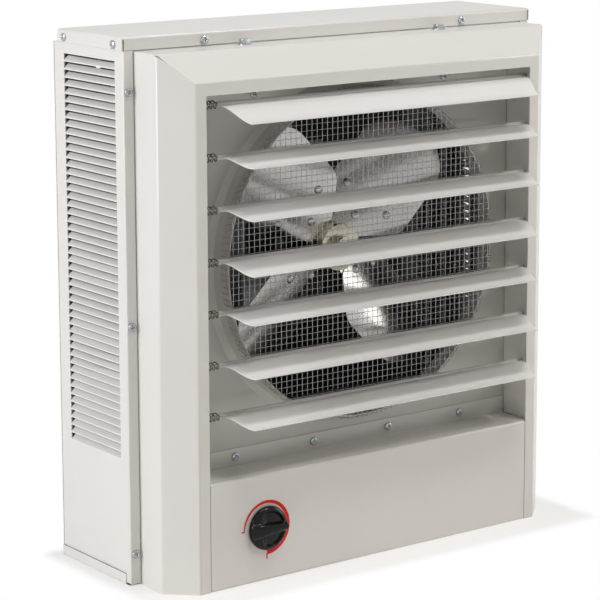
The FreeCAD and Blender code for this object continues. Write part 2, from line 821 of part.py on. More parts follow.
def springs():
    """One compression spring round the left end of each rod."""
    path = spring_path()
    print("least gap between spring turns %.2f mm" % least_gap(path))
    start = path.OrderedVertexes[0].Point
    coil = path.makePipeShell([ring(spring_wire / 2, start, RIGHT, wire_sides)], True, False)
    solids = []
    for height in blade_heights:
        spring = coil.copy()
        spring.translate(vec(0, pivot_y, height))
        solids.append(spring)
    return group(solids)


def fan_sector(shape):
    """A piece made on the +X arm, repeated round the fan's axis and moved to its place."""
    copies = []
    for n in range(fan_blades):
        copy = shape.copy()
        copy.rotate(MIDDLE, BACK, -fan_start_angle - 360.0 / fan_blades * n)
        copy.translate(FAN_CENTRE)
        copies.append(copy)
    return copies


def camber_axis():
    """Middle of a blade's curve: the blade's clockwise edge leans to the front."""
    pitch = math.radians(fan_pitch)
    return vec(0, fan_camber * math.cos(pitch), -fan_camber * math.sin(pitch))


def cambered(outline, inner, outer, radii=()):
    """Part of a cambered, pitched sheet that lies within an outline seen along the fan's axis."""
    axis_point = camber_axis()
    reach = 2 * fan_radius
    tube = Part.makeCylinder(outer, reach, axis_point, RIGHT)
    tube = tube.cut(Part.makeCylinder(inner, reach, axis_point, RIGHT))
    blank = prism(outline, front_view, BACK * fan_radius)
    blank.translate(BACK * (-fan_radius / 2))
    for (x, z), radius in zip(outline, radii):
        upright = [e for e in blank.Edges if e.BoundBox.YLength > fan_radius / 2]
        corner = [e for e in upright if math.hypot(e.BoundBox.XMin - x, e.BoundBox.ZMin - z) < fan_sheet]
        if radius:
            blank = blank.makeFillet(radius, corner)
    return tube.common(blank)


def fan_blade():
    """Broad paddle blade that flares from its root, trimmed to the fan's circle."""
    blank = cambered([(fan_root, -fan_root_width / 2), (fan_flare, -fan_leading), (fan_radius, -fan_leading),
                      (fan_radius, fan_trailing), (fan_flare, fan_trailing), (fan_root, fan_root_width / 2)],
                     fan_camber, fan_camber + fan_sheet,
                     (0, fan_shoulder, fan_corner, fan_corner, fan_shoulder, 0))
    circle = Part.makeCylinder(fan_radius, 2 * fan_radius, BACK * -fan_radius, BACK)
    return blank.common(circle).cut(group(rivet_shanks(hole_gap)))


def rivet_axes():
    """Each rivet's spot on the blade's sheet and the direction square to it."""
    middle = camber_axis()
    axes = []
    for radius, aside in rivet_spots:
        turn = math.radians(fan_pitch) + aside / fan_camber
        square = vec(0, -math.cos(turn), math.sin(turn))
        axes.append((middle + vec(radius, 0, 0) + square * fan_camber, square))
    return axes


def rivet_shanks(gap):
    radius = rivet_radius + gap
    return [bar([(radius, -rivet_head), (radius, rivet_head)], spot, square) for spot, square in rivet_axes()]


def rivets():
    """Rivets that hold a blade on its arm, set flush behind it."""
    tail = -spider_sheet - running_gap
    seat = fan_sheet + running_gap
    stations = [(rivet_radius, tail), (rivet_radius, seat), (rivet_head, seat),
                (rivet_head / 2, seat + rivet_head_height)]
    return [bar(stations, spot, square) for spot, square in rivet_axes()]


def fan_spider():
    """Spider: a hub barrel with a boss and an arm behind each blade."""
    outer = fan_camber - running_gap
    arm = cambered([(boss_radius, -spider_root_width / 2), (spider_reach, -spider_end_width / 2),
                    (spider_reach, spider_end_width / 2), (boss_radius, spider_root_width / 2)],
                   outer - spider_sheet, outer)
    arm = arm.cut(group(rivet_shanks(hole_gap)))
    hub_front = FAN_CENTRE - BACK * (hub_length / 2)
    barrel = Part.makeCylinder(hub_radius, hub_length, hub_front, BACK)
    boss = Part.makeCylinder(boss_radius, boss_length, hub_front - BACK * boss_length, BACK)
    hub = joined(barrel, boss, *fan_sector(arm))
    return hub.cut(Part.makeCylinder(shaft_radius + running_gap, 2 * hub_length,
                                     FAN_CENTRE - BACK * hub_length, BACK))


def motor_shaft():
    start = fan_y - hub_length / 2 - boss_length
    end = motor_front + motor_length / 2
    return Part.makeCylinder(shaft_radius, end - start, vec(0, start, fan_height), BACK)


def motor_body():
    """Motor can with a stepped nose, bored for its shaft and tapped for the bracket's bolts."""
    outline = [(0, -motor_nose), (motor_nose_radius, -motor_nose), (motor_nose_radius, 0),
               (motor_radius - motor_nose, 0), (motor_radius, motor_nose), (motor_radius, motor_length),
               (0, motor_length)]
    can = revolved(outline, vec(0, motor_front, fan_height), RIGHT, BACK)
    bore = Part.makeCylinder(shaft_radius + running_gap, motor_nose + motor_length / 2 + lap_gap,
                             vec(0, motor_front - motor_nose, fan_height), BACK)
    taps = [bar([(bolt_radius + hole_gap, -bolt_grip - lap_gap), (bolt_radius + hole_gap, lap_gap)], s, BACK)
            for s in motor_bolt_spots]
    return can.cut(bore).cut(group(taps))


def motor_bracket():
    """Hat-section bracket that stands the motor off the rear panel."""
    foot = bracket_half_width + bracket_foot
    seat = motor_back + sheet
    hat = folded([(-foot, back), (-bracket_half_width, back), (-bracket_half_width, seat),
                  (bracket_half_width, seat), (bracket_half_width, back), (foot, back)],
                 (bend, bend, bend, bend), -sheet, plan, UP * bracket_length)
    hat.translate(UP * (fan_height - bracket_length / 2))
    hat = bar_holes(hat, bracket_spots, hole_radius, BACK)
    return bar_holes(hat, motor_bolt_spots, bolt_radius + hole_gap, BACK)


def motor_bolts():
    """Bolts through the bracket into the motor, heads inside the bracket."""
    stations = [(bolt_radius, -bolt_grip), (bolt_radius, sheet), (bolt_head, sheet),
                (bolt_head, sheet + bolt_head_height)]
    return group([bar(stations, spot, BACK) for spot in motor_bolt_spots])


def hairpin(x, y_near, y_far):
    """Tubular element: two legs through the shelf, joined by a bend at the top."""
    foot = shelf_height - terminal_drop
    reach = (y_far - y_near) / 2
    crown = Part.Arc(vec(x, y_near, bend_height), vec(x, y_near + reach, bend_height + reach),
                     vec(x, y_far, bend_height))
    path = Part.Wire([Part.LineSegment(vec(x, y_near, foot), vec(x, y_near, bend_height)).toShape(),
                      crown.toShape(),
                      Part.LineSegment(vec(x, y_far, bend_height), vec(x, y_far, foot)).toShape()])
    return path.makePipeShell([ring(sheath_radius, vec(x, y_near, foot), UP, bar_sides)], True, False)


def element_sheaths(side):
    x = side * element_spread
    return group([hairpin(x, element_ys[0], element_ys[1]), hairpin(x, element_ys[2], element_ys[3])])


def element_fins(side):
    """Envelope of the fin wound on each leg."""
    height = fin_top - fin_bottom
    bore = sheath_radius + running_gap
    fins = []
    for y in element_ys:
        foot = vec(side * element_spread, y, fin_bottom)
        envelope = bar([(fin_radius, 0), (fin_radius, height)], foot, UP)
        fins.append(envelope.cut(bar([(bore, 0), (bore, height)], foot, UP)))
    return group(fins)


def element_strap(side):
    """Strap from the rear panel that steadies the element legs near their bends."""
    x = side * element_spread
    strap = folded([(back, strap_height - strap_foot), (back, strap_height),
                    (element_ys[0] - strap_half_width, strap_height)], (bend,), sheet, side_view,
                   RIGHT * (2 * strap_half_width))
    strap.translate(RIGHT * (x - strap_half_width))
    legs = [vec(x, y, strap_height) for y in element_ys]
    return bar_holes(strap, legs, sheath_radius + hole_gap, UP)


def divider_shelf():
    """Shelf between the air space and the wiring space, notched round the cabinet's folds."""
    top = shelf_height + sheet
    notch = panel_half - sheet - bend - lap_gap
    wide = panel_side - sheet - bend - lap_gap
    flange_y = back - sheet
    plate = box(-wide, wide, front + cover_tail + sheet, flange_y - lap_gap, shelf_height, top)
    tongue = box(-notch, notch, panel_y + sheet + lap_gap, front + cover_tail + sheet, shelf_height, top)
    inset = panel_side - side_flange - lap_gap
    rear = box(-inset, inset, flange_y - lap_gap, back, shelf_height, top)
    rear_flange = box(-inset, inset, flange_y, back, top - shelf_flange, shelf_height)
    shelf = joined(plate, tongue, rear, rear_flange)
    legs = [vec(s * element_spread, y, shelf_height) for s in (-1, 1) for y in element_ys]
    return bar_holes(shelf, legs, sheath_radius + hole_gap, UP)


def thermostat_body():
    """Thermostat behind the cover, bored for the dial's shaft."""
    face = lip_y + sheet
    half = thermostat_width / 2
    body = box(knob_x - half, knob_x + half, face, face + thermostat_depth, knob_z - half, knob_z + half)
    upright = [e for e in body.Edges if e.BoundBox.YLength > thermostat_depth / 2]
    body = body.makeFillet(bend + sheet, upright)
    return body.cut(Part.makeCylinder(dial_shaft_radius + running_gap, thermostat_depth / 2,
                                      vec(knob_x, face, knob_z), BACK))


def thermostat_shaft():
    start = lip_y - knob_gap - knob_skirt
    end = lip_y + sheet + thermostat_depth / 2 - lap_gap
    return Part.makeCylinder(dial_shaft_radius, end - start, vec(knob_x, start, knob_z), BACK)


def thermostat_knob():
    """Dial knob: a domed skirt crossed by a tapered grip that points to the right."""
    seat = vec(knob_x, lip_y - knob_gap, knob_z)
    forward = BACK * -1
    outline = [(0, 0), (knob_radius, 0), (knob_radius, knob_skirt / 2), (knob_radius - knob_gap, knob_skirt),
               (knob_shoulder, knob_skirt + knob_dome / 2), (knob_crown, knob_skirt + knob_dome),
               (0, knob_skirt + knob_dome)]
    skirt = revolved(outline, seat, RIGHT, forward)
    tail = grip_width / 2
    nose = tail / 2
    grip = prism([(-knob_radius, -tail), (knob_radius, -nose), (knob_radius, nose), (-knob_radius, tail)],
                 front_view, forward * grip_height)
    grip.translate(seat)
    rim = Part.makeCylinder(knob_radius, grip_height, seat, forward)
    bore = Part.makeCylinder(dial_shaft_radius + running_gap, knob_skirt + lap_gap, seat, forward)
    return joined(skirt, grip.common(rim)).cut(bore)


def limit_switch():
    """Snap-disc limit switch on the back of the fan panel, with its two blade terminals."""
    seat = vec(switch_x, panel_y + sheet, switch_z)
    disc = Part.makeCylinder(switch_radius, switch_height, seat, BACK)
    near = seat.y + switch_height
    far = near + switch_height
    middles = [switch_x + s * switch_radius / 2 for s in (-1, 1)]
    blades = [box(x - sheet / 2, x + sheet / 2, near, far, switch_z - tab_width / 2, switch_z + tab_width / 2)
              for x in middles]
    return joined(disc, *blades)


def contactor():
    """Contactor on the tray: a base, a narrower upper deck and the coil's top."""
    x, y = contactor_place
    width, depth, height = contactor_size
    base = box(x - width / 2, x + width / 2, y - depth / 2, y + depth / 2, sheet, sheet + height / 2)
    deck = box(x - width / 2, x + width / 2, y - depth / 3, y + depth / 3, sheet + height / 2,
               sheet + height * 3 / 4)
    crown = box(x - width / 4, x + width / 4, y - depth / 4, y + depth / 4, sheet + height * 3 / 4,
                sheet + height)
    return joined(base, deck, crown)


def terminal_block():
    """Supply terminal block: a base with a raised way for each conductor."""
    x, y = block_place
    width, depth, height = block_size
    pitch = width / block_ways
    base = box(x - width / 2, x + width / 2, y - depth / 2, y + depth / 2, sheet, sheet + height / 2)
    walls = []
    for n in range(block_ways + 1):
        middle = x - width / 2 + pitch * n
        low = max(middle - sheet, x - width / 2)
        high = min(middle + sheet, x + width / 2)
        walls.append(box(low, high, y - depth / 2, y + depth / 2, sheet + height / 2, sheet + height))
    return joined(base, *walls)


def transformer():
    """Control transformer: a laminated core with its coil through the window."""
    x, y = core_place
    width, depth, height = core_size
    core = box(x - width / 2, x + width / 2, y - depth / 2, y + depth / 2, sheet, sheet + height)
    coil_width, coil_depth, coil_height = coil_size
    middle = sheet + height / 2
    coil = box(x - coil_width / 2, x + coil_width / 2, y - coil_depth / 2, y + coil_depth / 2,
               middle - coil_height / 2, middle + coil_height / 2)
    upright = [e for e in coil.Edges if e.BoundBox.ZLength > coil_height / 2]
    return joined(core, coil.makeFillet(hood_bend, upright))


def ground_lug():
    x, y = lug_place
    width, depth, height = lug_size
    lug = box(x - width / 2, x + width / 2, y - depth / 2, y + depth / 2, sheet, sheet + height)
    return lug.cut(Part.makeCylinder(lug_hole, width, vec(x - width / 2, y, sheet + height / 2), RIGHT))


def hood_bolts():
    """Hex flange bolts through the hood top into the fan panel's rim."""
    corner = hood_bolt_flat / math.sqrt(3)
    bolts = []
    for spot in hood_bolt_spots:
        corners = [(corner * math.cos(math.pi / 3 * n), corner * math.sin(math.pi / 3 * n)) for n in range(6)]
        head = prism(corners, plan, UP * hood_bolt_height)
        head.translate(spot)
        stud = bar([(hood_bolt_radius, -screw_length), (hood_bolt_radius, 0), (hood_bolt_washer, 0),
                    (hood_bolt_washer, hood_bolt_washer_height)], spot, UP)
        bolts.append(joined(head, stud))
    return group(bolts)


def main():
    os.makedirs("parts", exist_ok=True)
    forward = BACK * -1
    panel = side_panel()
    leg = hood_leg()
    rail = louvre_rail()
    export("top_cover", lid())
    export("left_side_panel", panel)
    export("right_side_panel", mirrored(panel))
    export("bottom_tray", tray())
    export("rear_panel", rear_panel())
    export("hood_left_leg", leg)
    export("hood_right_leg", mirrored(leg))
    export("hood_top", hood_head())
    export("control_cover", control_cover())
    export("fan_panel", fan_panel())
    export("louvre_rail_left", rail)
    export("louvre_rail_right", mirrored(rail))
    export("top_baffle", top_baffle())
    export("mesh_guard", mesh_guard())
    for n, (height, tilt) in enumerate(zip(blade_heights, blade_tilts), 1):
        export("louvre_blade_%d" % n, louvre_blade(height, tilt))
        export("louvre_rod_%d" % n, louvre_rod(height))
    export("louvre_springs", springs())
    export("fan_blades", group(fan_sector(fan_blade())))
    export("fan_rivets", group([copy for rivet in rivets() for copy in fan_sector(rivet)]))
    export("fan_spider", fan_spider())
    export("motor_shaft", motor_shaft())
    export("motor_body", motor_body())
    export("motor_bracket", motor_bracket())
    export("motor_bolts", motor_bolts())
    for side, name in ((-1, "left"), (1, "right")):
        export("element_sheaths_%s" % name, element_sheaths(side))
        export("element_fins_%s" % name, element_fins(side))
        export("element_strap_%s" % name, element_strap(side))
    export("divider_shelf", divider_shelf())
    export("thermostat_body", thermostat_body())
    export("thermostat_shaft", thermostat_shaft())
    export("thermostat_knob", thermostat_knob())
    export("limit_switch", limit_switch())
    export("contactor", contactor())
    export("terminal_block", terminal_block())
    export("transformer", transformer())
    export("ground_lug", ground_lug())
    export("strip_screws", group([screw(spot, forward) for spot in strip_spots]))
    side_screws = [screw(spot, RIGHT if spot.x > 0 else RIGHT * -1) for spot in lid_side_spots]
    export("lid_screws", group([screw(spot, forward) for spot in lid_front_spots] + side_screws))
    export("recess_screws", group([screw(spot, forward) for spot in ledge_spots + baffle_spots]))
    export("rear_screws", group([screw(spot, BACK) for spot in rear_side_spots + bracket_spots]))
    export("hood_bolts", hood_bolts())


main()
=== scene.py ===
"""Looks for the unit heater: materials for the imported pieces, and finer forms for the small ones.

Metres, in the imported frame: X to the right, Y to the back, Z up, the outlet facing -Y.
"""
import json
import math
import random

import bmesh
import bpy
from mathutils import Matrix, Vector


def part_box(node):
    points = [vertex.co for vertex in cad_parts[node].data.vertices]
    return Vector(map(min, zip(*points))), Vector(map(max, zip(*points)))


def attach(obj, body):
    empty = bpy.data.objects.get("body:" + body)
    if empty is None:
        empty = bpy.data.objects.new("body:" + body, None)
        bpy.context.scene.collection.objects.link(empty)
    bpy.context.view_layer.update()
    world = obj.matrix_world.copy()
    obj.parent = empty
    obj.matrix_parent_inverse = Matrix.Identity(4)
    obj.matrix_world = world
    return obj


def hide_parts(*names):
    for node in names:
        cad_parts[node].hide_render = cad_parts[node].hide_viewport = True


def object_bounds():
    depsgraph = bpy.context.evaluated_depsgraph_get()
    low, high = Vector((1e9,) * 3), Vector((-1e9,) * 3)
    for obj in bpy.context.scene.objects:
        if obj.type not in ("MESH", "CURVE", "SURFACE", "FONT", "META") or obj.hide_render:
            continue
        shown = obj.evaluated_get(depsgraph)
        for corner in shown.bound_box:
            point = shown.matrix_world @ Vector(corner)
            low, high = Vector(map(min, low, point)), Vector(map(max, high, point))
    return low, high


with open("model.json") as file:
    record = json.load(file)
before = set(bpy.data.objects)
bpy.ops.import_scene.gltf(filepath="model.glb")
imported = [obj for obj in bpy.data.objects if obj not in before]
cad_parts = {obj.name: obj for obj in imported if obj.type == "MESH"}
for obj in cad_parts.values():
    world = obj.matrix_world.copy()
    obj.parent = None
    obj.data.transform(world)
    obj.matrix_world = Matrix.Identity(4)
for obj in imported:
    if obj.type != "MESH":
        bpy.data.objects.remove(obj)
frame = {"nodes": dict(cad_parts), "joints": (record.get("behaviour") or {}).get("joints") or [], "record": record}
cad_low, cad_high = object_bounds()
nodes = frame["nodes"]
joints = {joint["name"]: Vector(joint["pos_m"]) for joint in frame["joints"]}
mm = 0.001

# Camera, solved from the cabinet's edges in the photograph
image_size = 600
focal_pixels = 2402.9
sensor = 36.0
camera_place = Vector((-1461.2, -1978.4, 764.7)) * mm
camera_yaw = math.radians(36.43)
camera_pitch = math.radians(10.235)
camera_roll = math.radians(0.177)
camera_shift = -0.12

# Studio: the floor, how far the shadow reaches on it, and the even light from all round
floor_half = 12.0
floor_gap = 0.05 * mm
floor_colour = (0.86, 0.83, 0.79)
floor_rough = 0.7
shadow_reach = 0.022
shadow_lift = 0.55
world_colour = (1.0, 0.97, 0.94)
world_light = 0.08

# Lamps: place, the point that each one faces, width and height, watts, colour
lamps = {
    "key": ((-2.6, 0.05, 1.2), (0, 0, 0.3), (1.2, 1.6), 47, (0.97, 0.99, 1.0)),
    "top": ((0.2, -0.8, 2.4), (0, 0, 0.4), (1.2, 0.25), 20, (1.0, 0.995, 0.98)),
    "front": ((0.95, -1.75, 2.3), (0, 0, 0.3), (0.36, 0.3), 15, (1.0, 0.945, 0.885)),
    "back": ((0.9, 2.4, 0.25), (0, 0, 0.3), (1.4, 0.45), 14, (1.0, 0.99, 0.97)),
    "side": ((2.6, -1.1, 0.8), (0, 0, 0.3), (1.0, 1.4), 15, (1.0, 0.99, 0.97)),
}

# Noise: its usual detail, and the middle part of it, which is spread over the whole range of a look
noise_detail = 3.0
noise_low = 0.3
noise_high = 0.7

# Powder coat: tones from dark to light, gloss, the shifts of both, and the orange peel
cabinet_tones = ((0.770, 0.752, 0.726), (0.790, 0.774, 0.750))
# The blades' tones are lighter than the cabinet's, which is the same paint: painted light on the blades
lit_blade_tones = ((0.806, 0.798, 0.786), (0.826, 0.819, 0.808))
# The recess tones are darker than the cabinet's, which is the same paint: painted shade on the fan panel deep in
# the recess
shaded_recess_tones = ((0.620, 0.603, 0.580), (0.640, 0.625, 0.603))
motor_tones = ((0.016, 0.016, 0.017), (0.026, 0.026, 0.028))
paint_rough = 0.40
motor_rough = 0.42
paint_shift = 0.04
tone_scale = 9.0
gloss_scale = 60.0
coat_weight = 0.3
coat_rough = 0.12
paint_peel = 0.08
motor_peel = 0.15
peel_scale = 900.0
peel_detail = 2.0
peel_height = 0.05 * mm

# Sheets finished outside, with painted shade (near black) on their inner faces, and the way that their inner faces
# look
inside_shade = (0.03, 0.03, 0.032)
inside_shaded_sheets = {
    "rear_panel": (0, -1, 0),
    "left_side_panel": (1, 0, 0),
    "right_side_panel": (-1, 0, 0),
    "top_cover": (0, 0, -1),
    "bottom_tray": (0, 0, 1),
    "fan_panel": (0, 1, 0),
}
facing_limit = 0.5

# Metals: dark and light tone, roughness, scale of the grain, its relief, and its stretch where it has one
metal_shift = 0.07
metal_detail = 5.0
metal_height = 0.05 * mm
metals = {
    "rod_steel": ((0.33, 0.32, 0.31), (0.46, 0.45, 0.44), 0.33, 400.0, 0.05, (0.05, 1, 1)),
    "spring_steel": ((0.13, 0.115, 0.10), (0.22, 0.195, 0.17), 0.22, 900.0, 0.05),
    "guard_wire": ((0.36, 0.36, 0.35), (0.48, 0.48, 0.47), 0.30, 500.0, 0.05),
    "fan_aluminium": ((0.52, 0.50, 0.48), (0.58, 0.56, 0.54), 0.20, 40.0, 0.005),
    "spider_plate": ((0.48, 0.45, 0.35), (0.64, 0.61, 0.51), 0.22, 160.0, 0.02),
    "element_steel": ((0.26, 0.25, 0.24), (0.42, 0.41, 0.39), 0.40, 300.0, 0.05),
    "galvanised_sheet": ((0.42, 0.43, 0.44), (0.60, 0.61, 0.62), 0.42, 70.0, 0.05),
    "zinc_screws": ((0.36, 0.38, 0.40), (0.50, 0.52, 0.54), 0.22, 600.0, 0.05),
    "transformer_iron": ((0.10, 0.09, 0.08), (0.20, 0.18, 0.16), 0.5, 400.0, 0.05, (1, 30, 1)),
    "lug_brass": ((0.62, 0.45, 0.20), (0.76, 0.58, 0.30), 0.30, 400.0, 0.05),
}

# Plastics: dark and light tone, roughness, scale of the grain, its relief, strength of the reflection
plastic_shift = 0.03
plastic_detail = 2.0
plastic_height = 0.03 * mm
plastics = {
    "knob_plastic": ((0.004, 0.004, 0.005), (0.006, 0.006, 0.007), 0.15, 700.0, 0.02, 0.22),
    "switchgear_plastic": ((0.030, 0.030, 0.032), (0.045, 0.045, 0.048), 0.5, 500.0, 0.1, 0.5),
}

# Softened cut edges of the sheets that show, which are known by the start of their names
soft_sheets = ("top_cover", "left_side_panel", "right_side_panel", "bottom_tray", "hood_", "control_cover")
sheet_edge = 0.3 * mm
edge_segments = 2
edge_angle = math.radians(50.0)
sharp_angle = math.radians(40.0)
weld_distance = 0.001 * mm

# Pan-head screws with a cross recess; the edge is a share of the height, the rings of the radius
screw_head = 4.2 * mm
screw_height = 2.6 * mm
screw_edge = 0.55
screw_curve = 2.6
screw_rings = (0.1, 0.18, 0.27, 0.36, 0.45, 0.54, 0.62, 0.72, 0.82, 0.91, 0.97, 1.0)
screw_segments = 40
recess_arm = 2.7 * mm
recess_width = 0.8 * mm
recess_depth = 2.0 * mm
recess_slope = 2.2

# Rivets, with the lie of the fan's blades under them
rivet_head = 4.4 * mm
rivet_height = 2.2 * mm
rivet_lift = 0.6 * mm
rivet_rings = (0.3, 0.55, 0.75, 0.9, 1.0)
rivet_segments = 20
fan_start = math.radians(45.0)
fan_step = math.radians(90.0)
fan_pitch = math.radians(23.0)
fan_camber = 210.0 * mm

# Hex flange bolts in the hood's top
bolt_flat = 9.5 * mm
bolt_chamfer = 0.7 * mm
bolt_washer = 7.0 * mm
bolt_washer_edge = 0.7 * mm
bolt_washer_height = 1.4 * mm
bolt_fillet = 0.4 * mm
bolt_head_height = 5.5 * mm
bolt_segments = 48

# Louvre blades: the section, measured forward from the rod, where the ease is the share of the slope
# that each bend takes, and the tilt of each blade at rest in degrees
blade_chord = 41.0 * mm
blade_fall = 7.64 * mm
blade_sheet = 1.0 * mm
blade_taper = 14.8 * mm
blade_crease = 8.0 * mm
blade_toe = 39.0 * mm
blade_ease = 0.3
blade_steps = 40
blade_tilts = (12.5, 0.0, -0.5, 3.8, -1.4, 1.4, 1.0)
curl_lap = 0.9
curl_segments = 32
rod_gap = 0.05 * mm

# Wire guard; a folded tip's points are shares of its run, and the shortest tip is a share of wire_tip
wire_pitch = 6.35 * mm
wire_radius = 0.34 * mm
wire_weave = 0.15 * mm
wire_roundness = 1
wire_tip = 12.0 * mm
shortest_share = 0.75
longest_tip = 16.0 * mm
tip_splay = 0.9 * mm
tip_gap = 0.4 * mm
tip_shares = (0.06, 0.3, 0.65, 1.0)
guard_stand_off = 1.2 * mm
collar_radius = 167.0 * mm

# Springs, whose turns close up over a share of the length at each end
spring_radius = 3.7 * mm
spring_wire = 0.62 * mm
spring_roundness = 2
spring_turns = 5
spring_segments = 28
spring_close = 0.12
spring_pinch = 0.04

# Spiral fins of the heating elements
fin_radius = 11.3 * mm
fin_core = 4.2 * mm
fin_pitch = 4.2 * mm
fin_segments = 20

# Knob: heights over its seat; the rim and the pockets' limits are shares of its radius
knob_radius = 22.3 * mm
knob_rings = 50
knob_rim = 0.99
knob_segments = 128
knob_edge = 2.4 * mm
knob_dome = 5.8 * mm
knob_curve = 2.4
knob_shoulder = 2.0 * mm
knob_foot = 0.7 * mm
knob_foot_inset = 0.8 * mm
knob_wall = 3.0 * mm
grip_reach = 20.6 * mm
grip_half = 5.6 * mm
grip_taper = 2.0 * mm
grip_side = 0.35 * mm
grip_end = 0.3 * mm
grip_height = 11.4 * mm
grip_droop = 1.6 * mm
tail_droop = 4.6 * mm
grip_crown = 1.8 * mm
pocket_depth = 3.4 * mm
pocket_radius = 0.76
pocket_edge = 0.02
pocket_start = -0.32
pocket_fade = 0.05

# Printed dial, round the knob
dial_outer = 27.8 * mm
dial_thick = 4.7 * mm
dial_thin = 0.9 * mm
dial_sweep = math.radians(270.0)
dial_steps = 96
dial_lift = 0.12 * mm
tick_half = 0.75 * mm
low_tick = 2.6 * mm
high_tick = 4.6 * mm
ink_tones = ((0.84, 0.010, 0.005), (0.90, 0.015, 0.008))
ink_rough = 0.43
ink_shift = 0.05
ink_shine = 0.2
ink_scale = 900.0
ink_detail = 2.0

RIGHT = Vector((1, 0, 0))
BACK = Vector((0, 1, 0))
UP = Vector((0, 0, 1))
rng = random.Random(7)


def new_material(name):
    """A node material with its shader, and its object coordinates in metres."""
    material = bpy.data.materials.new(name)
    material.use_nodes = True
    tree = material.node_tree
    shader = tree.nodes["Principled BSDF"]
    place = tree.nodes.new("ShaderNodeTexCoord")
    return material, tree, shader, place.outputs["Object"]


def noise(tree, place, scale, detail=noise_detail, stretch=None):
    """Noise over the object's own coordinates, stretched along an axis where asked."""
    node = tree.nodes.new("ShaderNodeTexNoise")
    node.inputs["Scale"].default_value = scale
    node.inputs["Detail"].default_value = detail
    source = place
    if stretch:
        mapping = tree.nodes.new("ShaderNodeMapping")
        mapping.inputs["Scale"].default_value = stretch
        tree.links.new(place, mapping.inputs["Vector"])
        source = mapping.outputs["Vector"]
    tree.links.new(source, node.inputs["Vector"])
    return node.outputs["Fac"]


def spread(tree, value, low, high):
    """Maps the middle of a noise onto a range."""
    node = tree.nodes.new("ShaderNodeMapRange")
    node.inputs["From Min"].default_value = noise_low
    node.inputs["From Max"].default_value = noise_high
    node.inputs["To Min"].default_value = low
    node.inputs["To Max"].default_value = high
    tree.links.new(value, node.inputs["Value"])
    return node.outputs["Result"]


def blend(tree, share, first, second):
    """A colour between two, each of them plain or made by other nodes."""
    node = tree.nodes.new("ShaderNodeMix")
    node.data_type = "RGBA"
    for key, colour in (("A", first), ("B", second)):
        if isinstance(colour, tuple):
            node.inputs[key].default_value = (*colour, 1)
        else:
            tree.links.new(colour, node.inputs[key])
    tree.links.new(share, node.inputs["Factor"])
    return node.outputs["Result"]


def tint(tree, value, dark, light):
    """A colour between two, by a noise."""
    return blend(tree, spread(tree, value, 0.0, 1.0), dark, light)


def bump(tree, shader, height, strength, distance):
    """Gives a shader a fine relief."""
    node = tree.nodes.new("ShaderNodeBump")
    node.inputs["Strength"].default_value = strength
    node.inputs["Distance"].default_value = distance
    tree.links.new(height, node.inputs["Height"])
    tree.links.new(node.outputs["Normal"], shader.inputs["Normal"])


def calculated(tree, operation, first, second):
    """One step of arithmetic on a value."""
    node = tree.nodes.new("ShaderNodeMath")
    node.operation = operation
    for socket, value in zip(node.inputs, (first, second)):
        if isinstance(value, float):
            socket.default_value = value
        else:
            tree.links.new(value, socket)
    return node.outputs["Value"]


def vector_step(tree, operation, source, values=None):
    """The outputs of one step of arithmetic on a vector."""
    node = tree.nodes.new("ShaderNodeVectorMath")
    node.operation = operation
    tree.links.new(source, node.inputs[0])
    if values:
        node.inputs[1].default_value = values
    return node.outputs


def shaded_inside(tree, colour, inwards):
    """Painted shade: near black on the faces that look into the cabinet, the finish coat on the rest."""
    normal = tree.nodes.new("ShaderNodeTexCoord").outputs["Normal"]
    facing = vector_step(tree, "DOT_PRODUCT", normal, inwards)["Value"]
    return blend(tree, calculated(tree, "GREATER_THAN", facing, facing_limit), colour, inside_shade)


def paint(name, tones, rough=paint_rough, peel=paint_peel, inwards=None):
    """Powder coat: a faint orange peel, slow shifts of tone and of gloss, and painted shade on the inner faces
    where asked.
    """
    material, tree, shader, place = new_material(name)
    colour = tint(tree, noise(tree, place, tone_scale), *tones)
    if inwards:
        colour = shaded_inside(tree, colour, inwards)
    tree.links.new(colour, shader.inputs["Base Color"])
    gloss = spread(tree, noise(tree, place, gloss_scale), rough - paint_shift, rough + paint_shift)
    tree.links.new(gloss, shader.inputs["Roughness"])
    shader.inputs["Coat Weight"].default_value = coat_weight
    shader.inputs["Coat Roughness"].default_value = coat_rough
    bump(tree, shader, noise(tree, place, peel_scale, peel_detail), peel, peel_height)
    return material


def grained(name, tones, rough, shift, scale, detail, stretch=None):
    """A material whose tone and gloss follow a grain, with what else its maker sets."""
    material, tree, shader, place = new_material(name)
    grain = noise(tree, place, scale, detail, stretch)
    tree.links.new(tint(tree, grain, *tones), shader.inputs["Base Color"])
    tree.links.new(spread(tree, grain, rough - shift, rough + shift), shader.inputs["Roughness"])
    return material, tree, shader, grain


def metal(name, dark, light, rough, scale, relief, stretch=None):
    """Bare or plated metal, its tone and gloss broken by a grain."""
    tones = (dark, light)
    material, tree, shader, grain = grained(name, tones, rough, metal_shift, scale, metal_detail, stretch)
    shader.inputs["Metallic"].default_value = 1.0
    bump(tree, shader, grain, relief, metal_height)
    return material


def plastic(name, dark, light, rough, scale, relief, shine):
    """Moulded plastic with a fine surface."""
    tones = (dark, light)
    material, tree, shader, grain = grained(name, tones, rough, plastic_shift, scale, plastic_detail)
    shader.inputs["Specular IOR Level"].default_value = shine
    bump(tree, shader, grain, relief, plastic_height)
    return material


def red_ink():
    """Ink of the printed dial."""
    made = grained("dial_ink", ink_tones, ink_rough, ink_shift, ink_scale, ink_detail)
    material, _, shader, _ = made
    shader.inputs["Specular IOR Level"].default_value = ink_shine
    return material


materials = {
    "cabinet_paint": paint("cabinet_paint", cabinet_tones),
    "motor_paint": paint("motor_paint", motor_tones, motor_rough, motor_peel),
}
for name, look in metals.items():
    materials[name] = metal(name, *look)
for name, look in plastics.items():
    materials[name] = plastic(name, *look)


